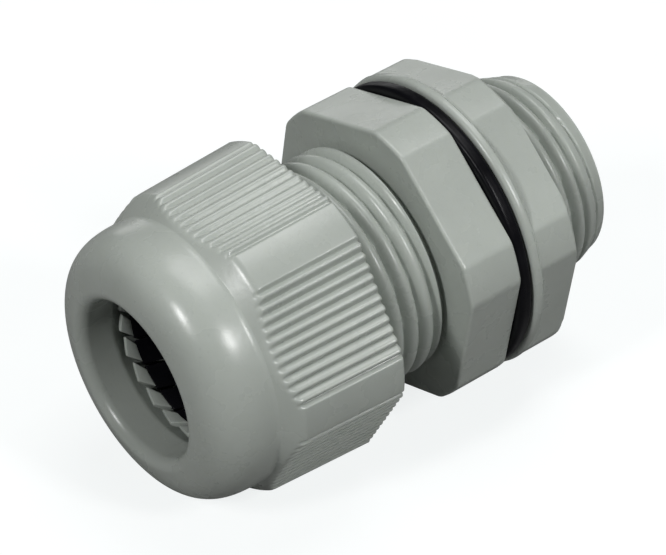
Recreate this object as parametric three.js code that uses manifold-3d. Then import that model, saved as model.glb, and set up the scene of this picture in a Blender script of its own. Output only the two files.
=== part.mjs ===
// Cable gland, M20 x 1.5, 27 mm across flats, with its locknut and panel gasket.
//
// Frame: millimetres. +X runs along the gland's axis towards the end of the entry thread, so the dome
// nut points to -X. +Z is up. Angles about the axis are measured from +Y towards +Z. Every part is
// drawn from the centre of the body's panel seating face, and the finished gland is then moved along
// its axis, so that the origin is the middle of the whole gland.
//
// The dome nut is shown slackened, with about 8 mm of the clamping thread in view.

import * as THREE from 'three';
import { mergeVertices } from 'three/addons/utils/BufferGeometryUtils.js';
import Module from 'manifold-3d';

const wasm = await Module();
wasm.setup();

// ---- Driving dimensions ----------------------------------------------------------------------

const ACROSS_FLATS = 27;
const APOTHEM = ACROSS_FLATS / 2;
const ROUND_STEPS = 36; // facets around a turned surface
const THREAD_STEPS = 24; // facets in one turn of a thread

const NUT_FLAT_ANGLE = 90; // degrees; the dome nut stands on a flat
const BODY_FLAT_ANGLE = 72; // degrees; the body and locknut hexagons are lined up with each other

const HEX_FRONT = -5.8; // the body's hexagon runs from here to the seating face at x = 0
const HEX_CORNER_RADIUS = 14.6;
const EDGE_BEVEL = 0.5;
const OVERLAP = 1; // how far solids run into or past each other before they are joined or cut

// a thread's phase is where its ridge stands at angle 0, as a share of the pitch
const CLAMP_THREAD = {
  pitch: 1.7,
  phase: -0.17,
  crest: 11.15,
  root: 10.2,
  crestShare: 0.34,
  rootShare: 0.22,
};
const CLAMP_RELIEF = 0.4; // plain neck between the thread's last turn and the hexagon
const CLAMP_TUBE_FRONT = -15.95;
const CLAMP_TUBE_BORE = 9.4;
const CLAMP_TUBE_FLOOR = -4.35; // shoulder at the bottom of the tube's bore

const ENTRY_THREAD = {
  pitch: 1.5,
  phase: 0,
  crest: 10,
  root: 9.15,
  crestShare: 0.2,
  rootShare: 0.2,
};
const ENTRY_END = 14.7;
const ENTRY_BORE = 7.6;
const ENTRY_BORE_CHAMFER = 0.4;
const ENTRY_LEAD = { length: 1.3, startRadius: 9.5, endRadius: 9.05 }; // the plain cone at the end

const THREAD_CLEARANCE = 0.2; // radial play between a nut's thread and the thread it runs on
const FLANK_CLEARANCE = 0.1; // axial play on each side of a ridge

const NUT_REAR = -14.05;
const NUT_RIM_BEVEL = 0.3;
const NUT_SHOULDER = -26.5; // where the dome meets the grip's sloping front
const NUT_SHOULDER_RADIUS = 13.1;
const NUT_APOTHEM = 14.05; // to the rib crests, at the rear
const NUT_CORNER_RADIUS = 15.05; // at the rear
const NUT_DRAFT = 0.045; // how much smaller the grip gets for each millimetre towards the dome
const NUT_FRONT_SLOPE = 0.9; // rise of the grip's front from the shoulder out to its corners
const DOME = { centreRadius: 5.05, length: 6.55, fullness: 3.2, steps: 11 };
const MOUTH_RADIUS = 7.7;
const MOUTH_LIP = 1.05; // radius of the rolled lip
const MOUTH_LIP_STEPS = 4;
const MOUTH_DEPTH = -29.35; // where the mouth's bore opens into the clamping cone
const CONE_BACK = { x: -24, radius: 10.65 };
const NUT_THREAD_FRONT = -23.65; // the nut's thread begins just behind the cone
const RIBS_PER_FLAT = 11;
const RIB_PITCH = 1.01;
const RIB_DEPTH = 0.35;
const RIB_CREST = 0.55;

const FINGER_COUNT = 18;
const CLAW = { rear: -12.25, front: -20.6, outer: 9.15, inner: 8.5, bevel: 0.3 };
const FINGER = {
  root: -20.85,
  heel: -27.65, // where the blade turns into the hooked tip
  tip: -28.7,
  thickness: 0.65,
  outerAtHeel: 8.2,
  outerAtTip: 7.6,
  hookRadius: 7.2,
  halfAngle: 6.9, // degrees
  leanAtHeel: 11.2, // degrees round the axis from the root
  leanAtTip: 20,
};

const SEAL = { rear: -12.5, waist: -21.1, front: -23.7, outer: 8.3, frontOuter: 7.7, bore: 7.3 };

const GASKET = { front: 0.05, rear: 1.4, outer: 14.3, inner: 10.5, bevel: 0.2 };

const LOCKNUT = {
  front: 1.5,
  flangeRear: 2.35,
  coneRear: 3.2, // end of the flange's sloping back
  rear: 6.8,
  flangeRadius: 14.6,
  flangeRounding: 0.7,
  rearBevel: { length: 0.25, depth: 0.35 },
  mouthRadius: 10.7,
};

// ---- Colours ---------------------------------------------------------------------------------

const NYLON_GREY = 0xb4bab2;
const RUBBER_BLACK = 0x15171a;

function nylon() {
  return new THREE.MeshStandardMaterial({ color: NYLON_GREY, roughness: 0.45, metalness: 0 });
}

function rubber() {
  return new THREE.MeshStandardMaterial({ color: RUBBER_BLACK, roughness: 0.35, metalness: 0 });
}

// ---- Solids ----------------------------------------------------------------------------------

/** A closed solid from a closed geometry, with shared corners merged and empty triangles dropped. */
function solidFrom(geometry) {
  const bare = geometry.clone();
  bare.deleteAttribute('normal');
  bare.deleteAttribute('uv');
  const merged = mergeVertices(bare, 1e-4);
  const index = merged.index.array;
  const triangles = [];
  for (let i = 0; i < index.length; i += 3) {
    const [a, b, c] = index.slice(i, i + 3);
    if (a !== b && b !== c && c !== a) triangles.push(a, b, c);
  }
  const mesh = new wasm.Mesh({
    numProp: 3,
    vertProperties: new Float32Array(merged.attributes.position.array),
    triVerts: new Uint32Array(triangles),
  });
  return new wasm.Manifold(mesh);
}

/** A three.js geometry from a solid. */
function geometryFrom(solid) {
  const mesh = solid.getMesh();
  const geometry = new THREE.BufferGeometry();
  geometry.setAttribute('position', new THREE.BufferAttribute(mesh.vertProperties, 3));
  geometry.setIndex(new THREE.BufferAttribute(mesh.triVerts, 1));
  geometry.computeVertexNormals();
  return geometry;
}

/** A solid turned about the X axis. The outline is a list of [x, radius], and it is closed here. */
function turned(outline) {
  const points = outline.map(([x, radius]) => new THREE.Vector2(radius, x));
  points.push(points[0].clone());
  if (THREE.ShapeUtils.isClockWise(points)) points.reverse();
  const geometry = new THREE.LatheGeometry(points, ROUND_STEPS);
  geometry.rotateZ(-Math.PI / 2);
  return solidFrom(geometry);
}

/** A prism along X from the outline of its end, a list of [y, z]. Its start can be smaller. */
function prism(outline, fromX, toX, startScale = 1) {
  const shape = new THREE.Shape(outline.map(([y, z]) => new THREE.Vector2(y, z)));
  const geometry = new THREE.ExtrudeGeometry(shape, { depth: toX - fromX, bevelEnabled: false });
  // the extrusion's X, Y and Z become the gland's Y, Z and X
  geometry.applyMatrix4(
    new THREE.Matrix4().makeBasis(
      new THREE.Vector3(0, 1, 0),
      new THREE.Vector3(0, 0, 1),
      new THREE.Vector3(1, 0, 0),
    ),
  );
  geometry.translate(fromX, 0, 0);
  const corners = geometry.attributes.position;
  for (let i = 0; i < corners.count; i += 1) {
    const scale = corners.getX(i) < (fromX + toX) / 2 ? startScale : 1;
    corners.setY(i, corners.getY(i) * scale);
    corners.setZ(i, corners.getZ(i) * scale);
  }
  return solidFrom(geometry);
}

/** The point of a cross-section at a radius and an angle in degrees. */
function polar(radius, degrees) {
  const angle = THREE.MathUtils.degToRad(degrees);
  return [radius * Math.cos(angle), radius * Math.sin(angle)];
}

/** The outline of a hexagon, with one flat facing the given angle. */
function hexagon(apothem, flatAngle) {
  const cornerRadius = apothem / Math.cos(Math.PI / 6);
  const corners = [];
  for (let side = 0; side < 6; side += 1) corners.push(polar(cornerRadius, flatAngle + 30 + 60 * side));
  return corners;
}

/**
 * A long rod with a right-hand thread, covering x = fromX to x = toX, with its ends left rough. The
 * surface is a grid: THREAD_STEPS columns to a turn, each holding one profile repeated every pitch,
 * and each column stands a little further along X than the one before it.
 */
function threadedRod(thread, fromX, toX) {
  const halfCrest = thread.crestShare / 2;
  const halfRidge = (1 - thread.rootShare) / 2;
  const profile = [
    [-halfRidge, thread.root],
    [-halfCrest, thread.crest],
    [halfCrest, thread.crest],
    [halfRidge, thread.root],
  ];
  const firstTurn = Math.floor(fromX / thread.pitch) - 1;
  const turns = Math.ceil((toX - fromX) / thread.pitch) + 2;
  const rows = turns * profile.length;
  const at = (column, row) => column * (rows + 1) + row;
  const positions = [];
  for (let column = 0; column <= THREAD_STEPS; column += 1) {
    for (let row = 0; row <= rows; row += 1) {
      const [along, radius] = profile[row % profile.length];
      const turn = firstTurn + Math.floor(row / profile.length) + column / THREAD_STEPS + thread.phase;
      positions.push((turn + along) * thread.pitch, ...polar(radius, (360 * column) / THREAD_STEPS));
    }
  }
  const triangles = [];
  for (let column = 0; column < THREAD_STEPS; column += 1) {
    for (let row = 0; row < rows; row += 1) {
      triangles.push(at(column, row), at(column + 1, row + 1), at(column, row + 1));
      triangles.push(at(column, row), at(column + 1, row), at(column + 1, row + 1));
    }
  }
  // each end is a fan from a point on the axis: once round the edge, then along it by one pitch
  const startCentre = positions.length / 3;
  positions.push((firstTurn - 1) * thread.pitch, 0, 0);
  const endCentre = startCentre + 1;
  positions.push((firstTurn + turns + 1) * thread.pitch, 0, 0);
  for (let column = 0; column < THREAD_STEPS; column += 1) {
    triangles.push(startCentre, at(column + 1, 0), at(column, 0));
    triangles.push(endCentre, at(column, rows), at(column + 1, rows));
  }
  for (let row = 0; row < profile.length; row += 1) {
    triangles.push(startCentre, at(0, row), at(0, row + 1));
    triangles.push(endCentre, at(THREAD_STEPS, rows - row), at(THREAD_STEPS, rows - row - 1));
  }
  const geometry = new THREE.BufferGeometry();
  geometry.setAttribute('position', new THREE.Float32BufferAttribute(positions, 3));
  geometry.setIndex(triangles);
  return solidFrom(geometry);
}

/** The thread that a nut needs: deeper by the radial play, with room beside each ridge. */
function withPlay(thread) {
  const room = (2 * FLANK_CLEARANCE) / thread.pitch;
  return {
    pitch: thread.pitch,
    phase: thread.phase,
    crest: thread.crest + THREAD_CLEARANCE,
    root: thread.root + THREAD_CLEARANCE,
    crestShare: thread.crestShare + room,
    rootShare: thread.rootShare - room,
  };
}

// ---- Gland body ------------------------------------------------------------------------------

function hexHead() {
  const envelope = turned([
    [HEX_FRONT, 0],
    [HEX_FRONT, HEX_CORNER_RADIUS - 2 * EDGE_BEVEL],
    [HEX_FRONT + EDGE_BEVEL, HEX_CORNER_RADIUS],
    [-EDGE_BEVEL / 2, HEX_CORNER_RADIUS],
    [0, HEX_CORNER_RADIUS - EDGE_BEVEL],
    [0, 0],
  ]);
  return prism(hexagon(APOTHEM, BODY_FLAT_ANGLE), HEX_FRONT - OVERLAP, OVERLAP).intersect(envelope);
}

/** The tube that the dome nut screws on, with a 45 degree lead at its front and a neck behind. */
function clampTube() {
  const { crest, root } = CLAMP_THREAD;
  const threadEnd = HEX_FRONT - CLAMP_RELIEF;
  const rear = HEX_FRONT + OVERLAP;
  const envelope = turned([
    [CLAMP_TUBE_FRONT, 0],
    [CLAMP_TUBE_FRONT, root],
    [CLAMP_TUBE_FRONT + OVERLAP + crest - root, crest + OVERLAP],
    [threadEnd, crest + OVERLAP],
    [threadEnd, root],
    [rear, root],
    [rear, 0],
  ]);
  return threadedRod(CLAMP_THREAD, CLAMP_TUBE_FRONT, rear).intersect(envelope);
}

/** The tube that goes through the panel, with a plain cone beyond its last turn. */
function entryTube() {
  const leadStart = ENTRY_END - ENTRY_LEAD.length;
  const rise = ENTRY_THREAD.crest - ENTRY_LEAD.startRadius + OVERLAP;
  const envelope = turned([
    [-OVERLAP, 0],
    [-OVERLAP, ENTRY_THREAD.crest + OVERLAP],
    [leadStart - rise, ENTRY_THREAD.crest + OVERLAP],
    [leadStart, ENTRY_LEAD.startRadius],
    [ENTRY_END, ENTRY_LEAD.endRadius],
    [ENTRY_END, 0],
  ]);
  return threadedRod(ENTRY_THREAD, -OVERLAP, ENTRY_END).intersect(envelope);
}

function glandBody() {
  const bore = turned([
    [CLAMP_TUBE_FRONT - OVERLAP, 0],
    [CLAMP_TUBE_FRONT - OVERLAP, CLAMP_TUBE_BORE],
    [CLAMP_TUBE_FLOOR, CLAMP_TUBE_BORE],
    [CLAMP_TUBE_FLOOR, ENTRY_BORE],
    [ENTRY_END - ENTRY_BORE_CHAMFER, ENTRY_BORE],
    [ENTRY_END + OVERLAP, ENTRY_BORE + ENTRY_BORE_CHAMFER + OVERLAP],
    [ENTRY_END + OVERLAP, 0],
  ]);
  return hexHead().add(clampTube()).add(entryTube()).subtract(bore);
}

// ---- Dome nut --------------------------------------------------------------------------------

/** The grip's cross-section: six ribbed flats, with plain corners that the envelope turns down. */
function gripOutline() {
  const outline = [];
  const ribbedHalf = (RIBS_PER_FLAT * RIB_PITCH) / 2;
  const plainStart = ribbedHalf + (RIB_PITCH - RIB_CREST) / 2;
  for (let side = 0; side < 6; side += 1) {
    const flatAngle = NUT_FLAT_ANGLE + 60 * side;
    const [normalY, normalZ] = polar(1, flatAngle);
    const onFlat = (along, height) => [
      normalY * height - normalZ * along,
      normalZ * height + normalY * along,
    ];
    outline.push(onFlat(-plainStart, NUT_APOTHEM));
    for (let rib = 0; rib < RIBS_PER_FLAT; rib += 1) {
      const middle = (rib - (RIBS_PER_FLAT - 1) / 2) * RIB_PITCH;
      outline.push(onFlat(middle - RIB_PITCH / 2, NUT_APOTHEM - RIB_DEPTH));
      outline.push(onFlat(middle - RIB_CREST / 2, NUT_APOTHEM));
      outline.push(onFlat(middle + RIB_CREST / 2, NUT_APOTHEM));
    }
    outline.push(onFlat(ribbedHalf, NUT_APOTHEM - RIB_DEPTH));
    outline.push(onFlat(plainStart, NUT_APOTHEM));
    outline.push(polar(NUT_APOTHEM / Math.cos(Math.PI / 6), flatAngle + 30));
  }
  return outline;
}

/** The dome, a quarter of a superellipse from the shoulder to where the mouth's lip begins. */
function domeArc() {
  const points = [];
  const height = NUT_SHOULDER_RADIUS - DOME.centreRadius;
  const power = 2 / DOME.fullness;
  const lipShare = (MOUTH_RADIUS + MOUTH_LIP - DOME.centreRadius) / height;
  const lastAngle = Math.acos(lipShare ** (1 / power));
  for (let step = 0; step <= DOME.steps; step += 1) {
    const angle = (lastAngle * step) / DOME.steps;
    points.push([
      NUT_SHOULDER - DOME.length * Math.sin(angle) ** power,
      DOME.centreRadius + height * Math.cos(angle) ** power,
    ]);
  }
  return points;
}

/** The mouth's rolled lip, a quarter circle from the nose round into the mouth's bore. */
function lipArc(noseX) {
  const points = [];
  for (let step = 1; step <= MOUTH_LIP_STEPS; step += 1) {
    const angle = (Math.PI / 2) * (step / MOUTH_LIP_STEPS);
    points.push([
      noseX + MOUTH_LIP * (1 - Math.cos(angle)),
      MOUTH_RADIUS + MOUTH_LIP * (1 - Math.sin(angle)),
    ]);
  }
  return points;
}

function domeNut() {
  const arc = domeArc();
  const [noseX] = arc[arc.length - 1];
  const threadMouth = CLAMP_THREAD.crest + THREAD_CLEARANCE;
  const cornerAt = (x) => NUT_CORNER_RADIUS - NUT_DRAFT * (NUT_REAR - x);
  // the corners' line meets the sloping front here
  const slopeHeight = cornerAt(NUT_SHOULDER) - NUT_SHOULDER_RADIUS;
  const slopeEnd = NUT_SHOULDER + slopeHeight / (NUT_FRONT_SLOPE - NUT_DRAFT);
  const envelope = turned([
    ...arc,
    ...lipArc(noseX),
    [MOUTH_DEPTH, MOUTH_RADIUS],
    [CONE_BACK.x, CONE_BACK.radius],
    [NUT_REAR - (threadMouth - CONE_BACK.radius), CONE_BACK.radius],
    [NUT_REAR, threadMouth],
    [NUT_REAR, NUT_CORNER_RADIUS - NUT_RIM_BEVEL],
    [NUT_REAR - NUT_RIM_BEVEL, NUT_CORNER_RADIUS],
    [slopeEnd, cornerAt(slopeEnd)],
  ]);
  const gripStart = noseX - OVERLAP;
  const startScale = 1 - (NUT_DRAFT * (NUT_REAR - gripStart)) / NUT_APOTHEM;
  const grip = prism(gripOutline(), gripStart, NUT_REAR, startScale);
  const limit = turned([
    [NUT_THREAD_FRONT, 0],
    [NUT_THREAD_FRONT, NUT_CORNER_RADIUS],
    [NUT_REAR + OVERLAP, NUT_CORNER_RADIUS],
    [NUT_REAR + OVERLAP, 0],
  ]);
  const thread = threadedRod(withPlay(CLAMP_THREAD), CONE_BACK.x, NUT_REAR + OVERLAP).intersect(limit);
  return grip.intersect(envelope).subtract(thread);
}

// ---- Clamping insert and seal ----------------------------------------------------------------

function clawRing() {
  return turned([
    [CLAW.front, CLAW.inner],
    [CLAW.front, CLAW.outer],
    [CLAW.rear - CLAW.bevel, CLAW.outer],
    [CLAW.rear, CLAW.outer - CLAW.bevel],
    [CLAW.rear, CLAW.inner],
  ]);
}

/** One clamping finger: a blade that leans round the axis, more steeply at its hooked tip. */
function clampFinger(middleAngle) {
  const side = [
    // [x, radius, lean]
    [FINGER.root, CLAW.inner, 0],
    [FINGER.root, CLAW.outer, 0],
    [FINGER.heel, FINGER.outerAtHeel, FINGER.leanAtHeel],
    [FINGER.tip, FINGER.outerAtTip, FINGER.leanAtTip],
    [FINGER.tip, FINGER.hookRadius, FINGER.leanAtTip],
    [FINGER.heel, FINGER.hookRadius, FINGER.leanAtHeel],
    [FINGER.heel, FINGER.outerAtHeel - FINGER.thickness, FINGER.leanAtHeel],
  ];
  const spread = [-1, 0, 1];
  const positions = [];
  for (const share of spread) {
    for (const [x, radius, lean] of side) {
      positions.push(x, ...polar(radius, middleAngle + lean + share * FINGER.halfAngle));
    }
  }
  const triangles = [];
  const outline = side.map(([x, radius]) => new THREE.Vector2(x, radius));
  const last = (spread.length - 1) * side.length;
  for (const [a, b, c] of THREE.ShapeUtils.triangulateShape(outline, [])) {
    triangles.push(a, c, b, last + a, last + b, last + c);
  }
  for (let column = 0; column < spread.length - 1; column += 1) {
    for (let corner = 0; corner < side.length; corner += 1) {
      const here = column * side.length + corner;
      const next = column * side.length + ((corner + 1) % side.length);
      triangles.push(here, next + side.length, here + side.length);
      triangles.push(here, next, next + side.length);
    }
  }
  const geometry = new THREE.BufferGeometry();
  geometry.setAttribute('position', new THREE.Float32BufferAttribute(positions, 3));
  geometry.setIndex(triangles);
  return solidFrom(geometry);
}

function sealBush() {
  return turned([
    [SEAL.front, SEAL.bore],
    [SEAL.front, SEAL.frontOuter],
    [SEAL.waist, SEAL.outer],
    [SEAL.rear, SEAL.outer],
    [SEAL.rear, SEAL.bore],
  ]);
}

// ---- Gasket and locknut ----------------------------------------------------------------------

function gasket() {
  return turned([
    [GASKET.front, GASKET.inner],
    [GASKET.front, GASKET.outer - GASKET.bevel],
    [GASKET.front + GASKET.bevel, GASKET.outer],
    [GASKET.rear - GASKET.bevel, GASKET.outer],
    [GASKET.rear, GASKET.outer - GASKET.bevel],
    [GASKET.rear, GASKET.inner],
  ]);
}

function locknut() {
  const { front, flangeRear, coneRear, rear, flangeRadius, flangeRounding, rearBevel, mouthRadius } = LOCKNUT;
  const onArc = flangeRounding * (1 - Math.SQRT1_2); // the middle of the rounded edge
  const flange = turned([
    [front, 0],
    [front, flangeRadius - flangeRounding],
    [front + onArc, flangeRadius - onArc],
    [front + flangeRounding, flangeRadius],
    [flangeRear, flangeRadius],
    [coneRear, APOTHEM],
    [coneRear, 0],
  ]);
  const envelope = turned([
    [flangeRear, 0],
    [flangeRear, flangeRadius],
    [rear - rearBevel.length, flangeRadius],
    [rear, flangeRadius - rearBevel.depth],
    [rear, 0],
  ]);
  const hexPrism = prism(hexagon(APOTHEM, BODY_FLAT_ANGLE), front, rear + OVERLAP);
  const { root } = withPlay(ENTRY_THREAD);
  const bore = turned([
    [front - OVERLAP, 0],
    [front - OVERLAP, mouthRadius + OVERLAP],
    [front + mouthRadius - root, root],
    [rear - mouthRadius + root, root],
    [rear + OVERLAP, mouthRadius + OVERLAP],
    [rear + OVERLAP, 0],
  ]);
  const thread = threadedRod(withPlay(ENTRY_THREAD), front - OVERLAP, rear + OVERLAP);
  return flange.add(hexPrism.intersect(envelope)).subtract(bore).subtract(thread);
}

// ---- Assembly --------------------------------------------------------------------------------

const parts = new THREE.Group();

function place(name, solid, material) {
  const mesh = new THREE.Mesh(geometryFrom(solid), material);
  mesh.name = name;
  parts.add(mesh);
}

place('gland_body', glandBody(), nylon());
place('dome_nut', domeNut(), nylon());
place('clamping_ring', clawRing(), nylon());
for (let finger = 0; finger < FINGER_COUNT; finger += 1) {
  const number = String(finger + 1).padStart(2, '0');
  place(`clamping_finger_${number}`, clampFinger((360 * finger) / FINGER_COUNT), nylon());
}
place('cable_seal', sealBush(), rubber());
place('panel_gasket', gasket(), rubber());
place('locknut', locknut(), nylon());

// the origin is the middle of the whole gland
const middle = new THREE.Box3().setFromObject(parts).getCenter(new THREE.Vector3());
parts.position.x = -middle.x;

const gland = new THREE.Group();
gland.add(parts);

export default gland;
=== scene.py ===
# The looks of a nylon cable gland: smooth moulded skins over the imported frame, procedural nylon and
# rubber, a pale floor, soft studio light, and the camera.
#
# The gland's axis is the row's X axis. Skins are drawn in millimetres from the body's panel seating
# face, as the gland's makers would, and stand SEAT further along the row's X. Angles about the axis
# run from +Y towards +Z.

import math

import bmesh
import bpy
import numpy as np
from mathutils import Matrix, Vector


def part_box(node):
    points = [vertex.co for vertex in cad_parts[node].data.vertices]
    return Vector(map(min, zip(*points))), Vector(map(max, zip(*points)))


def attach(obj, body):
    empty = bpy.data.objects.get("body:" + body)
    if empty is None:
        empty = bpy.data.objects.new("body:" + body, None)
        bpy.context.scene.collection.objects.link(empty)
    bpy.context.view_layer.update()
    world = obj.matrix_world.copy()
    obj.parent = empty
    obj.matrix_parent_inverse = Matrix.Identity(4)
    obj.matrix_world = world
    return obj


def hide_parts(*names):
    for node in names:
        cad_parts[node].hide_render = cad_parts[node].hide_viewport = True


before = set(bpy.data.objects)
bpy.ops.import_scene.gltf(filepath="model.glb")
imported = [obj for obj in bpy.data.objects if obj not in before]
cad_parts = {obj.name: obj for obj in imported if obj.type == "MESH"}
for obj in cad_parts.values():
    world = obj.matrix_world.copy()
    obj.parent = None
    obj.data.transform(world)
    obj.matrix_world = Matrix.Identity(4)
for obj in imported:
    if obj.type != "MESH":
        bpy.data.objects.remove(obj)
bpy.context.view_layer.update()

MM = 0.001
ENTRY_LENGTH = 14.7  # from the panel seating face to the end of the body
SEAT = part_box("gland_body")[1].x / MM - ENTRY_LENGTH


def station(node, end):
    """Where a CAD node starts (end 0) or stops (end 1) along the axis, from the seating face."""
    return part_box(node)[end].x / MM - SEAT


# ---- Sizes ------------------------------------------------------------------------------------

NUT_REAR = station("dome_nut", 1)
BODY_FRONT = station("gland_body", 0)
BODY_END = station("gland_body", 1)
INSERT_FRONT = station("clamping_ring", 0)
INSERT_REAR = station("clamping_ring", 1)
FINGER_TIP = station("clamping_finger_01", 0)
FINGER_ROOT = station("clamping_finger_01", 1)
SEAL_FRONT = station("cable_seal", 0)
SEAL_REAR = station("cable_seal", 1)
GASKET_FRONT = station("panel_gasket", 0)
GASKET_REAR = station("panel_gasket", 1)
LOCKNUT_FRONT = station("locknut", 0)
LOCKNUT_REAR = station("locknut", 1)

APOTHEM = 13.5  # half of the 27 mm across flats
NUT_FLAT = 90.0  # degrees: the angle that one flat of the dome nut faces
BODY_FLAT = 72.0  # degrees: the same for the body and the locknut
HEX_FRONT = -5.8
HEX_CORNER = 14.6

# each thread: pitch, phase (where its ridge stands at angle 0, as a share of the pitch), crest, root
CLAMP = 1.7, -0.17, 11.15, 10.2
ENTRY = 1.5, 0.0, 10.0, 9.15
CLAMP_PITCH, _, CLAMP_CREST, CLAMP_ROOT = CLAMP
ENTRY_PITCH, _, ENTRY_CREST, ENTRY_ROOT = ENTRY
CLAMP_RELIEF = 0.4  # plain neck between the clamping thread and the hexagon
TUBE_BORE, TUBE_FLOOR, ENTRY_BORE = 9.4, -4.35, 7.6
THREAD_PLAY = 0.2
LEAD_LENGTH, LEAD_START, LEAD_END = 1.3, 9.5, 9.05  # the plain cone at the end of the entry

SHOULDER, SHOULDER_RADIUS = -26.5, 13.1  # where the dome meets the grip's sloping front
NUT_APOTHEM, NUT_CORNER = 14.05, 15.05  # of the grip, at its rear
GRIP_RIM = 0.3  # rounding of the grip's rear edge
NUT_DRAFT = 0.045  # how much smaller the grip gets for each millimetre towards the dome
GRIP_SLOPE = 0.9  # rise of the grip's front from the shoulder out to its corners
DOME_LENGTH, DOME_CENTRE, DOME_FULLNESS = 6.55, 5.05, 3.2  # a quarter of a superellipse
MOUTH, MOUTH_LIP, MOUTH_END = 7.7, 1.05, -29.35
CONE_BACK, CONE_RADIUS = -24.0, 10.65
GROOVES, RIB_PITCH, RIB_DEPTH = 12, 1.01, 0.4  # on each flat
GROOVE_RUN = 2.4  # from the shoulder to where the grooves have their full depth

FINGERS = 18
CLAW_OUTER, CLAW_INNER = 9.15, 8.5
FINGER_HEEL, FINGER_HALF = -27.65, 6.9
FINGER_LEANS = 0.0, 11.2, 20.0  # degrees round the axis at the root, the heel and the tip
HEEL_OUTER, TIP_OUTER, HOOK = 8.2, 7.6, 7.2
TIP_SKEW = 0.18  # how far each side of a tip stands back from or ahead of its middle
SHADE_LINING_THICKNESS, SHADE_LINING_HALF = 0.3, 9.0  # a black rubber lining inside the fingers, a dark sheet that stands in for the deep shade behind their hooks (painted shade): thickness, half of a strip's width
SHADE_LINING_GAP = 0.4  # from the seal to its black lining, which swings back towards it as the fingers close
SEAL_BORE, SEAL_OUTER, SEAL_FRONT_OUTER, SEAL_WAIST = 7.3, 8.3, 7.7, -21.1

GASKET_INNER, GASKET_OUTER = 10.5, 14.3
FLANGE, FLANGE_REAR, FLANGE_SLOPE, FLANGE_ROUNDING = 14.6, 2.35, 1.25, 0.6
LOCKNUT_CHAMFER = 0.35  # depth, at its rear corners
LOCKNUT_MOUTH = 10.7


# ---- Skins ------------------------------------------------------------------------------------

SHARP_EDGE = 55  # degrees between two faces

def smooth_min(a, b, width):
    """The smaller of two sizes, with the crossing rounded over about width."""
    share = np.clip(0.5 + 0.5 * (b - a) / width, 0, 1)
    return b + (a - b) * share - width * share * (1 - share)


def smooth_max(a, b, width):
    return -smooth_min(-a, -b, width)


def side_angle(angles, flat):
    """Each angle's distance in degrees from the middle of the nearest flat of a hexagon."""
    return (angles - flat + 30) % 60 - 30


def hexagon(angles, flat, corner):
    """A hexagon's radius at each angle, with its corners turned down to a circle."""
    side = np.radians(side_angle(angles, flat))
    return smooth_min(APOTHEM / np.cos(side), np.full_like(side, corner), 0.15)


def hexagon_angles(flat, corner):
    """Angles that follow a hexagon: few along the flats, many where a flat meets its corner."""
    edge = math.degrees(math.acos(APOTHEM / corner))
    sixth = np.concatenate(
        [
            np.linspace(-edge + 1.8, edge - 1.8, 12),
            np.linspace(edge - 1.5, edge + 1.5, 9),
            np.linspace(edge + 2, 60 - edge - 2, 7),
            np.linspace(60 - edge - 1.5, 60 - edge + 1.5, 9),
        ]
    )
    return np.concatenate([flat + 60 * k + sixth for k in range(6)])


def thread(angles, x, sizes, play=0.0):
    """A right-hand thread's radius at each angle in the section at x: broad crests, narrow roots.

    play is the extra radius of the thread inside a nut."""
    pitch, phase, crest, root = sizes
    turn = x / pitch - phase - angles / 360
    across = np.abs(2 * (turn - np.round(turn)))
    return root + play + (crest - root) * smooth_max(1 - across**2.3, 0.04, 0.12)


def rounded(points, sizes, steps=5):
    """A line through points of equal length tuples, with each inner corner rounded off by its size.

    A support point stands just outside each rounding, so that shading stays flat between corners.
    """
    line = [points[0]]
    for before, here, after, size in zip(points, points[1:], points[2:], sizes):
        here = np.array(here, float)
        back = (np.array(before, float) - here)
        ahead = (np.array(after, float) - here)
        back_unit = back / np.linalg.norm(back[:2])
        ahead_unit = ahead / np.linalg.norm(ahead[:2])
        start = here + back_unit * size
        end = here + ahead_unit * size
        line.append(tuple(here + back_unit * size * 1.25))
        for t in np.linspace(0, 1, steps):
            line.append(tuple((1 - t) ** 2 * start + 2 * t * (1 - t) * here + t**2 * end))
        line.append(tuple(here + ahead_unit * size * 1.25))
    line.append(points[-1])
    return line


def skin(name, angles, rows):
    """A closed skin round the axis. rows is a loop of (x, radius at each angle): along +X outside,
    and back inside."""
    turn = np.radians(angles)
    sections = len(rows)
    count = len(angles)
    points = np.empty((sections, count, 3))
    for i, (x, radius) in enumerate(rows):
        points[i, :, 0] = x + SEAT
        points[i, :, 1] = radius * np.cos(turn)
        points[i, :, 2] = radius * np.sin(turn)
    here = np.arange(sections)[:, None] * count + np.arange(count)[None, :]
    beside = np.roll(here, -1, axis=1)
    ahead = np.roll(here, -1, axis=0)
    opposite = np.roll(beside, -1, axis=0)
    quads = np.stack([here, beside, opposite, ahead], axis=-1).reshape(-1, 4)
    mesh = bpy.data.meshes.new(name)
    mesh.from_pydata((points.reshape(-1, 3) * MM).tolist(), [], quads.tolist())
    return shaded(name, mesh)


def shaded(name, mesh):
    """An object for a finished mesh, smooth except across edges sharper than SHARP_EDGE."""
    mesh.validate()
    mesh.shade_smooth()
    mesh.set_sharp_from_angle(angle=math.radians(SHARP_EDGE))
    piece = bpy.data.objects.new(name, mesh)
    bpy.context.scene.collection.objects.link(piece)
    return piece


def turned(name, outline, count=144):
    """A closed skin with the same outline all round."""
    angles = np.arange(count) * 360 / count
    return skin(name, angles, [(p[0], np.full(count, float(p[1]))) for p in outline])


# ---- Dome nut ---------------------------------------------------------------------------------


def grip(angles):
    """The grip at each angle at its rear: its plain radius, and the depth of its grooves there."""
    side = np.radians(side_angle(angles, NUT_FLAT))
    along = NUT_APOTHEM * np.tan(side)
    base = smooth_min(NUT_APOTHEM / np.cos(side), np.full_like(side, NUT_CORNER), 0.1)
    groove = np.sin(np.pi * along / RIB_PITCH) ** 2
    ribbed = np.abs(along) < GROOVES / 2 * RIB_PITCH
    return base, np.where(ribbed, RIB_DEPTH * groove**1.5, 0)


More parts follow.
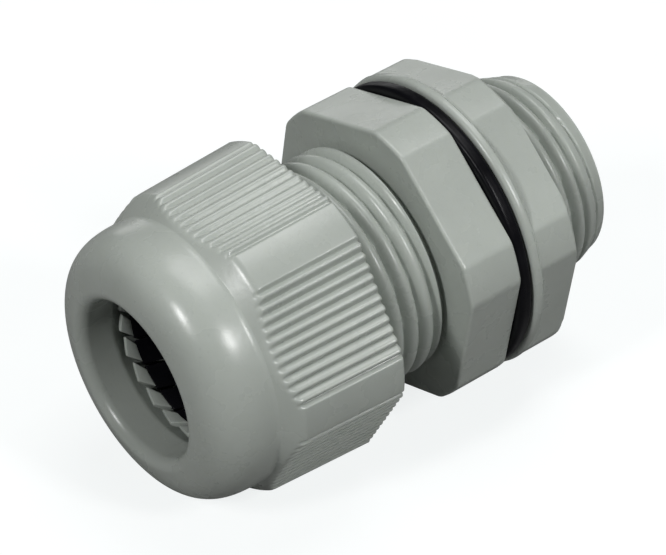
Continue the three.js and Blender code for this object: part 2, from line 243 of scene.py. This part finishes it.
def grip_angles():
    """Angles that follow the grooves: ten to each one, and a few on each corner."""
    reach = GROOVES / 2 * RIB_PITCH
    along = np.linspace(-reach, reach, GROOVES * 10 + 1)
    side = np.degrees(np.arctan(along / NUT_APOTHEM))
    corner = np.linspace(side[-1], 60 - side[-1], 9)[1:-1]
    return np.concatenate([NUT_FLAT + 60 * k + np.concatenate([side, corner]) for k in range(6)])


def dome_nut():
    angles = grip_angles()
    ones = np.ones_like(angles)
    plain, grooves = grip(angles)
    rear_ribs = plain - grooves

    def ribs(x):
        """The tapered grip at x. The grooves deepen over their first GROOVE_RUN."""
        share = min(1, max(0, (x - SHOULDER) / GROOVE_RUN))
        deepened = share * share * (3 - 2 * share)
        return (plain - grooves * deepened) * (1 - NUT_DRAFT * (NUT_REAR - x) / NUT_APOTHEM)

    height = SHOULDER_RADIUS - DOME_CENTRE
    power = 2 / DOME_FULLNESS
    lip_turn = math.acos(((MOUTH + MOUTH_LIP - DOME_CENTRE) / height) ** (1 / power))
    nose = SHOULDER - DOME_LENGTH * math.sin(lip_turn) ** power
    rows = []
    for turn in np.linspace(lip_turn, 0, 56):
        x = SHOULDER - DOME_LENGTH * math.sin(turn) ** power
        rows.append((x, (DOME_CENTRE + height * math.cos(turn) ** power) * ones))
    grip_start = SHOULDER + (NUT_CORNER - SHOULDER_RADIUS) / GRIP_SLOPE
    for x in np.linspace(SHOULDER, grip_start + 0.6, 48)[1:]:
        cone = (SHOULDER_RADIUS + GRIP_SLOPE * (x - SHOULDER)) * ones
        rows.append((x, smooth_min(cone, ribs(x), 0.32)))
    mouth_rear = CLAMP_CREST + 0.3
    rim_start = NUT_REAR - 1.25 * GRIP_RIM
    rows.append((rim_start, ribs(rim_start)))
    for turn in np.radians(np.linspace(0, 90, 6)):
        x = NUT_REAR - GRIP_RIM + GRIP_RIM * math.sin(turn)
        rows.append((x, rear_ribs - GRIP_RIM * (1 - math.cos(turn))))
    rows.append((NUT_REAR, 0.7 * (rear_ribs - GRIP_RIM) + 0.3 * mouth_rear))
    rows.append((NUT_REAR, mouth_rear * ones))
    for x in np.arange(NUT_REAR - 0.7, CONE_BACK + 0.4, -CLAMP_PITCH / 8):
        rows.append((x, thread(angles, x, CLAMP, THREAD_PLAY)))
    rows.append((CONE_BACK, CONE_RADIUS * ones))
    inside = [(CONE_BACK, CONE_RADIUS), (MOUTH_END, MOUTH), (nose + MOUTH_LIP, MOUTH)]
    for x, radius in rounded(inside, [0.25])[1:]:
        rows.append((x, radius * ones))
    for turn in np.radians(np.linspace(8, 82, 10)):
        x = nose + MOUTH_LIP * (1 - math.sin(turn))
        rows.append((x, (MOUTH + MOUTH_LIP * (1 - math.cos(turn))) * ones))
    return skin("dome_nut_skin", angles, rows)


# ---- Gland body -------------------------------------------------------------------------------


def gland_body():
    angles = hexagon_angles(BODY_FLAT, HEX_CORNER)
    ones = np.ones_like(angles)
    hex_edge = hexagon(angles, BODY_FLAT, HEX_CORNER)

    def hex_row(x, radius, share):
        return (x, radius + share * (hex_edge - HEX_CORNER))

    rows = []
    front = [(BODY_FRONT + 0.4, TUBE_BORE), (BODY_FRONT, TUBE_BORE + 0.25), (BODY_FRONT, CLAMP_ROOT - 0.15)]
    rows += [(x, radius * ones) for x, radius in front]
    for x in np.arange(BODY_FRONT + 0.08, HEX_FRONT - 0.04, CLAMP_PITCH / 16):
        lead = (CLAMP_ROOT - 0.1 + 1.1 * (x - BODY_FRONT)) * ones
        neck = (CLAMP_ROOT + 2.5 * max(0, HEX_FRONT - CLAMP_RELIEF - x)) * ones
        ridge = thread(angles, x, CLAMP)
        rows.append((x, smooth_min(smooth_min(ridge, lead, 0.16), neck, 0.1)))
    head = [
        (HEX_FRONT, CLAMP_ROOT, 0),
        (HEX_FRONT, HEX_CORNER, 1),
        (0, HEX_CORNER, 1),
        (0, ENTRY_ROOT + 0.3, 0),
    ]
    rows += [hex_row(*point) for point in rounded(head, [0.36, 0.25])]
    lead_start = BODY_END - LEAD_LENGTH
    for x in np.arange(0.12, BODY_END - 0.16, ENTRY_PITCH / 14):
        end_cone = (LEAD_START - (LEAD_START - LEAD_END) * (x - lead_start) / LEAD_LENGTH) * ones
        neck = (ENTRY_ROOT + 0.15 + 1.2 * max(0, x - 0.4)) * ones
        ridge = thread(angles, x, ENTRY)
        rows.append((x, smooth_min(smooth_min(ridge, end_cone, 0.2), neck, 0.16)))
    back = [
        (BODY_END - 0.15, LEAD_END + 0.1),
        (BODY_END, LEAD_END),
        (BODY_END, ENTRY_BORE + 0.4),
        (BODY_END - 0.5, ENTRY_BORE),
        (TUBE_FLOOR, ENTRY_BORE),
        (TUBE_FLOOR, TUBE_BORE),
        (BODY_FRONT + 0.4, TUBE_BORE),
    ]
    rows += [(x, radius * ones) for x, radius in rounded(back, [0.12, 0.12, 0.12, 0.25, 0.25])[:-1]]
    return skin("gland_body_skin", angles, rows)


# ---- Insert, seal, gasket ---------------------------------------------------------------------


def clamping_ring():
    outline = [
        (INSERT_FRONT + 3, CLAW_INNER),
        (INSERT_FRONT, CLAW_INNER),
        (INSERT_FRONT, CLAW_OUTER),
        (INSERT_REAR, CLAW_OUTER),
        (INSERT_REAR, CLAW_INNER),
        (INSERT_FRONT + 3, CLAW_INNER),
    ]
    return turned("clamping_ring_skin", rounded(outline, [0.12] * 4)[:-1])


def leaning_blade(name, number, side, half_width, softness):
    """A closed blade along the axis that leans round it. side is its outline from the side, a list
    of (x, radius, lean in degrees). half_width is in degrees, and softness rounds its edges."""
    mesh = bmesh.new()
    grid = []
    for share in np.linspace(-1, 1, 5):
        ring = []
        for x, radius, lean in side:
            turn = math.radians(360 * number / FINGERS + lean + share * half_width)
            skew = share * TIP_SKEW if x < FINGER_HEEL - 0.4 else 0
            point = (x + skew + SEAT, radius * math.cos(turn), radius * math.sin(turn))
            ring.append(mesh.verts.new(Vector(point) * MM))
        grid.append(ring)
    for ring, beside in zip(grid, grid[1:]):
        for k in range(len(side)):
            after = (k + 1) % len(side)
            mesh.faces.new((ring[k], ring[after], beside[after], beside[k]))
    mesh.faces.new(grid[0][::-1])
    mesh.faces.new(grid[-1])
    bmesh.ops.recalc_face_normals(mesh, faces=mesh.faces)
    edges = [e for e in mesh.edges if e.calc_face_angle(0) > math.radians(30)]
    bmesh.ops.bevel(mesh, geom=edges, offset=softness * MM, segments=2, profile=0.5, affect="EDGES")
    data = bpy.data.meshes.new(f"{name}_{number + 1:02d}_skin")
    mesh.to_mesh(data)
    mesh.free()
    return shaded(data.name, data)


def shank(x):
    """The inner radius and the lean of a finger's shank at x."""
    share = (x - FINGER_ROOT) / (FINGER_HEEL - FINGER_ROOT)
    wall = CLAW_OUTER - CLAW_INNER
    return CLAW_INNER + share * (HEEL_OUTER - wall - CLAW_INNER), share * FINGER_LEANS[1]


def clamping_finger(number):
    root_lean, heel_lean, tip_lean = FINGER_LEANS
    side = [
        (FINGER_ROOT, CLAW_INNER, root_lean),
        (FINGER_ROOT, CLAW_OUTER, root_lean),
        (FINGER_HEEL, HEEL_OUTER, heel_lean),
        (FINGER_TIP, TIP_OUTER, tip_lean),
        (FINGER_TIP, HOOK, tip_lean),
        (FINGER_HEEL, HOOK, heel_lean),
        (FINGER_HEEL, shank(FINGER_HEEL)[0], heel_lean),
    ]
    return leaning_blade("clamping_finger", number, side, FINGER_HALF, 0.08)


def shade_lining(number):
    """A strip of black rubber that lines one finger's inner face and moves with it: painted shade, a dark
    sheet standing in for the deep shade behind the hooks.
    """
    front, rear = FINGER_HEEL + 0.04, SEAL_FRONT - SHADE_LINING_GAP
    side = []
    for x, lift in ((rear, 0), (front, 0), (front, SHADE_LINING_THICKNESS), (rear, SHADE_LINING_THICKNESS)):
        radius, lean = shank(x)
        side.append((x, radius - lift - 0.02, lean))
    return leaning_blade("shade_lining", number, side, SHADE_LINING_HALF, 0.05)


def cable_seal():
    middle = (SEAL_FRONT + SEAL_REAR) / 2
    outline = [
        (middle, SEAL_BORE),
        (SEAL_FRONT, SEAL_BORE),
        (SEAL_FRONT, SEAL_FRONT_OUTER),
        (SEAL_WAIST, SEAL_OUTER),
        (SEAL_REAR, SEAL_OUTER),
        (SEAL_REAR, SEAL_BORE),
        (middle, SEAL_BORE),
    ]
    return turned("cable_seal_skin", rounded(outline, [0.12, 0.12, 0.4, 0.25, 0.25])[:-1])


def panel_gasket():
    middle = (GASKET_INNER + GASKET_OUTER) / 2
    outline = [
        (GASKET_FRONT, middle),
        (GASKET_FRONT, GASKET_OUTER),
        (GASKET_REAR, GASKET_OUTER),
        (GASKET_REAR, GASKET_INNER),
        (GASKET_FRONT, GASKET_INNER),
        (GASKET_FRONT, middle),
    ]
    return turned("panel_gasket_skin", rounded(outline, [0.45, 0.45, 0.2, 0.2], 7)[:-1], 240)


# ---- Locknut ----------------------------------------------------------------------------------


def locknut():
    angles = hexagon_angles(BODY_FLAT, FLANGE)
    ones = np.ones_like(angles)
    flats = hexagon(angles, BODY_FLAT, FLANGE)
    face = [(LOCKNUT_FRONT, LOCKNUT_MOUTH), (LOCKNUT_FRONT, FLANGE), (FLANGE_REAR, FLANGE)]
    rows = [(x, radius * ones) for x, radius in rounded(face, [FLANGE_ROUNDING], 7)[:-1]]
    rear_radius = FLANGE - LOCKNUT_CHAMFER
    for x in np.linspace(FLANGE_REAR - 0.08, LOCKNUT_REAR, 70):
        slope = (FLANGE - FLANGE_SLOPE * (x - FLANGE_REAR)) * ones
        ring = smooth_min(slope, FLANGE * ones, 0.12)
        chamfer = (rear_radius + 1.2 * (LOCKNUT_REAR - x)) * ones
        rows.append((x, smooth_min(smooth_max(ring, flats, 0.25), chamfer, 0.15)))
    rows.append((LOCKNUT_REAR, 0.5 * rows[-1][1] + 0.5 * LOCKNUT_MOUTH))
    rows.append((LOCKNUT_REAR, LOCKNUT_MOUTH * ones))
    for x in np.arange(LOCKNUT_REAR - 0.5, LOCKNUT_FRONT + 0.45, -ENTRY_PITCH / 8):
        rows.append((x, thread(angles, x, ENTRY, THREAD_PLAY)))
    rows.append((LOCKNUT_FRONT + 0.4, (ENTRY_CREST + THREAD_PLAY) * ones))
    return skin("locknut_skin", angles, rows)


# ---- Materials --------------------------------------------------------------------------------


def new_material(name):
    material = bpy.data.materials.new(name)
    material.use_nodes = True
    nodes = material.node_tree.nodes
    return material, nodes, material.node_tree.links, nodes["Principled BSDF"]


def noise(nodes, links, scale, detail):
    """Noise over the object's own coordinates, in features of about 1/scale metres."""
    coordinates = nodes.new("ShaderNodeTexCoord")
    texture = nodes.new("ShaderNodeTexNoise")
    texture.inputs["Scale"].default_value = scale
    texture.inputs["Detail"].default_value = detail
    links.new(coordinates.outputs["Object"], texture.inputs["Vector"])
    return texture.outputs["Fac"]


def ramp(nodes, links, source, stops):
    """A colour or grey ramp from (position, colour) stops."""
    node = nodes.new("ShaderNodeValToRGB")
    elements = node.color_ramp.elements
    while len(elements) < len(stops):
        elements.new(0.5)
    for element, (position, colour) in zip(elements, stops):
        element.position = position
        element.color = (*colour, 1)
    links.new(source, node.inputs["Fac"])
    return node.outputs["Color"]


def multiplied(nodes, links, first, second):
    """Two colours multiplied together."""
    node = nodes.new("ShaderNodeMix")
    node.data_type = "RGBA"
    node.blend_type = "MULTIPLY"
    node.inputs["Factor"].default_value = 1
    links.new(first, node.inputs["A"])
    links.new(second, node.inputs["B"])
    return node.outputs["Result"]


def grey(value):
    return (value, value, value)


def bumped(nodes, links, shader, layers):
    """Chains bump layers, each (height, strength, distance in metres), into the shader's normal."""
    normal = None
    for height, strength, distance in layers:
        bump = nodes.new("ShaderNodeBump")
        bump.inputs["Strength"].default_value = strength
        bump.inputs["Distance"].default_value = distance
        links.new(height, bump.inputs["Height"])
        if normal is not None:
            links.new(normal, bump.inputs["Normal"])
        normal = bump.outputs["Normal"]
    links.new(normal, shader.inputs["Normal"])


NYLON_DARK = (0.400, 0.432, 0.398)
NYLON_LIGHT = (0.455, 0.490, 0.452)


def nylon(name):
    """Moulded grey nylon: satin, very slightly mottled, with a fine orange peel."""
    material, nodes, links, shader = new_material(name)
    cloud = noise(nodes, links, 90, 4)
    base = ramp(nodes, links, cloud, [(0.3, NYLON_DARK), (0.7, NYLON_LIGHT)])
    fleck = ramp(nodes, links, noise(nodes, links, 2600, 2), [(0.62, grey(1.0)), (0.8, grey(0.93))])
    base = multiplied(nodes, links, base, fleck)
    links.new(base, shader.inputs["Base Color"])
    gloss = ramp(nodes, links, noise(nodes, links, 240, 4), [(0.3, grey(0.24)), (0.7, grey(0.31))])
    links.new(gloss, shader.inputs["Roughness"])
    shader.inputs["IOR"].default_value = 1.5
    shader.inputs["Subsurface Weight"].default_value = 0.12
    shader.inputs["Subsurface Radius"].default_value = (0.0012, 0.0012, 0.0009)
    peel = noise(nodes, links, 900, 2)
    grain = noise(nodes, links, 5200, 3)
    bumped(nodes, links, shader, [(peel, 0.25, 0.00006), (grain, 0.2, 0.00002)])
    return material


def rubber(name):
    """Black seal rubber with a dull gloss."""
    material, nodes, links, shader = new_material(name)
    cloud = noise(nodes, links, 300, 4)
    base = ramp(nodes, links, cloud, [(0.3, (0.003, 0.003, 0.004)), (0.7, (0.007, 0.007, 0.009))])
    links.new(base, shader.inputs["Base Color"])
    gloss = ramp(nodes, links, noise(nodes, links, 700, 3), [(0.3, grey(0.26)), (0.7, grey(0.4))])
    links.new(gloss, shader.inputs["Roughness"])
    shader.inputs["Specular IOR Level"].default_value = 0.12
    bumped(nodes, links, shader, [(noise(nodes, links, 1500, 3), 0.3, 0.00004)])
    return material


def floor_paper(name):
    """White seamless paper, made to glow for the camera but giving little light back to the gland."""
    material, nodes, links, shader = new_material(name)
    fibre = ramp(nodes, links, noise(nodes, links, 60, 3), [(0.3, grey(0.20)), (0.7, grey(0.22))])
    links.new(fibre, shader.inputs["Base Color"])
    shader.inputs["Roughness"].default_value = 0.9
    shader.inputs["Specular IOR Level"].default_value = 0.1
    glow = nodes.new("ShaderNodeMath")
    glow.operation = "MULTIPLY"
    links.new(nodes.new("ShaderNodeLightPath").outputs["Is Camera Ray"], glow.inputs[0])
    glow.inputs[1].default_value = 0.84
    shader.inputs["Emission Color"].default_value = (0.975, 1.0, 1.0, 1)
    links.new(glow.outputs["Value"], shader.inputs["Emission Strength"])
    return material


# ---- Pieces -----------------------------------------------------------------------------------


def fit(piece, node, body, material):
    """Puts a finished skin on its body, in place of its CAD node if it has one."""
    piece.data.materials.append(material)
    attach(piece, body)
    if node:
        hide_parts(node)


NYLON = nylon("moulded_nylon")
RUBBER = rubber("seal_rubber")

fit(dome_nut(), "dome_nut", "dome_nut", NYLON)
fit(gland_body(), "gland_body", "body", NYLON)
fit(locknut(), "locknut", "locknut", NYLON)
fit(clamping_ring(), "clamping_ring", "clamping_insert", NYLON)
for finger in range(FINGERS):
    node = f"clamping_finger_{finger + 1:02d}"
    fit(clamping_finger(finger), node, node, NYLON)
    # each finger's black lining: painted shade behind the hooks, made of seal rubber
    fit(shade_lining(finger), None, node, RUBBER)
fit(cable_seal(), "cable_seal", "clamping_insert", RUBBER)
fit(panel_gasket(), "panel_gasket", "panel_gasket", RUBBER)


# ---- Camera, floor and light ------------------------------------------------------------------

TILT = math.radians(2.8)  # the gland leans: the locknut's flange is wider than the dome nut's flats
AZIMUTH = math.radians(38.65)
ELEVATION = math.radians(37.39)
DISTANCE = 310.66  # from the camera to AIM
AIM = (-13.27 + SEAT, 0.0, 0.0)
OFFSET = (-2.405, -1.072)  # how far AIM lies right of and above the middle of the frame
FOCAL_SHARE = 5.1655  # focal length over sensor width


def in_row(vector):
    """A direction given with the floor level, turned into the row frame."""
    x, y, z = vector
    return Vector((x * math.cos(TILT) + z * math.sin(TILT), y, z * math.cos(TILT) - x * math.sin(TILT)))


UP = in_row((0, 0, 1))
RIGHT = in_row((math.cos(AZIMUTH), -math.sin(AZIMUTH), 0))
CAMERA_UP = in_row(
    (
        math.sin(AZIMUTH) * math.sin(ELEVATION),
        math.cos(AZIMUTH) * math.sin(ELEVATION),
        math.cos(ELEVATION),
    )
)
BACK = RIGHT.cross(CAMERA_UP)


def add_camera():
    data = bpy.data.cameras.new("camera")
    data.sensor_width = 36
    data.lens = 36 * FOCAL_SHARE
    data.clip_start = 0.01
    data.clip_end = 50
    camera = bpy.data.objects.new("camera", data)
    bpy.context.scene.collection.objects.link(camera)
    place = Vector(AIM) - OFFSET[0] * RIGHT - OFFSET[1] * CAMERA_UP + DISTANCE * BACK
    turn = Matrix((RIGHT, CAMERA_UP, BACK)).transposed().to_4x4()
    camera.matrix_world = Matrix.Translation(place * MM) @ turn
    bpy.context.scene.camera = camera


def add_floor():
    """A large plane, level under the leaning gland, that touches the locknut's flange."""
    lowest = min(UP.dot(corner) for corner in lowest_points())
    mesh = bmesh.new()
    bmesh.ops.create_grid(mesh, x_segments=8, y_segments=8, size=3.0)
    data = bpy.data.meshes.new("floor")
    mesh.to_mesh(data)
    mesh.free()
    floor = bpy.data.objects.new("floor", data)
    bpy.context.scene.collection.objects.link(floor)
    turn = Matrix((RIGHT, UP.cross(RIGHT), UP)).transposed().to_4x4()
    floor.matrix_world = Matrix.Translation(UP * lowest) @ turn
    data.materials.append(floor_paper("floor_paper"))


def lowest_points():
    """The lowest points of the parts that the gland can rest on."""
    points = []
    for node in ("dome_nut", "locknut"):
        low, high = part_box(node)
        points += [Vector((low.x, 0, low.z)), Vector((high.x, 0, low.z))]
    return points


def add_softbox(name, direction, distance, size, power):
    """An area light towards a direction given as (right, up, back) of the camera, aimed at the gland."""
    right, up, back = direction
    towards = (RIGHT * right + CAMERA_UP * up + BACK * back).normalized()
    data = bpy.data.lights.new(name, "AREA")
    data.shape = "RECTANGLE"
    data.size, data.size_y = size
    data.energy = power
    light = bpy.data.objects.new(name, data)
    bpy.context.scene.collection.objects.link(light)
    light.location = Vector(AIM) * MM + towards * distance
    light.rotation_euler = towards.to_track_quat("Z", "Y").to_euler()


def add_light():
    world = bpy.data.worlds.new("studio")
    bpy.context.scene.world = world
    world.use_nodes = True
    background = world.node_tree.nodes["Background"]
    background.inputs["Color"].default_value = (0.97, 1.0, 1.0, 1)
    background.inputs["Strength"].default_value = 0.03
    small = (0.12, 0.2)
    add_softbox("left_lamp", (-0.50, 0.17, 0.85), 0.9, small, 3.4)
    add_softbox("right_lamp", (0.61, 0.20, 0.77), 0.9, small, 3.2)
    add_softbox("top_lamp", (0.1, 0.9, 0.4), 1.1, (0.7, 0.5), 5.0)
    add_softbox("back_fill", (-0.1, 0.5, -0.86), 1.2, (0.8, 0.8), 3.0)
    bpy.context.scene.view_settings.view_transform = "Standard"
    bpy.context.scene.view_settings.look = "None"


add_camera()
add_floor()
add_light()
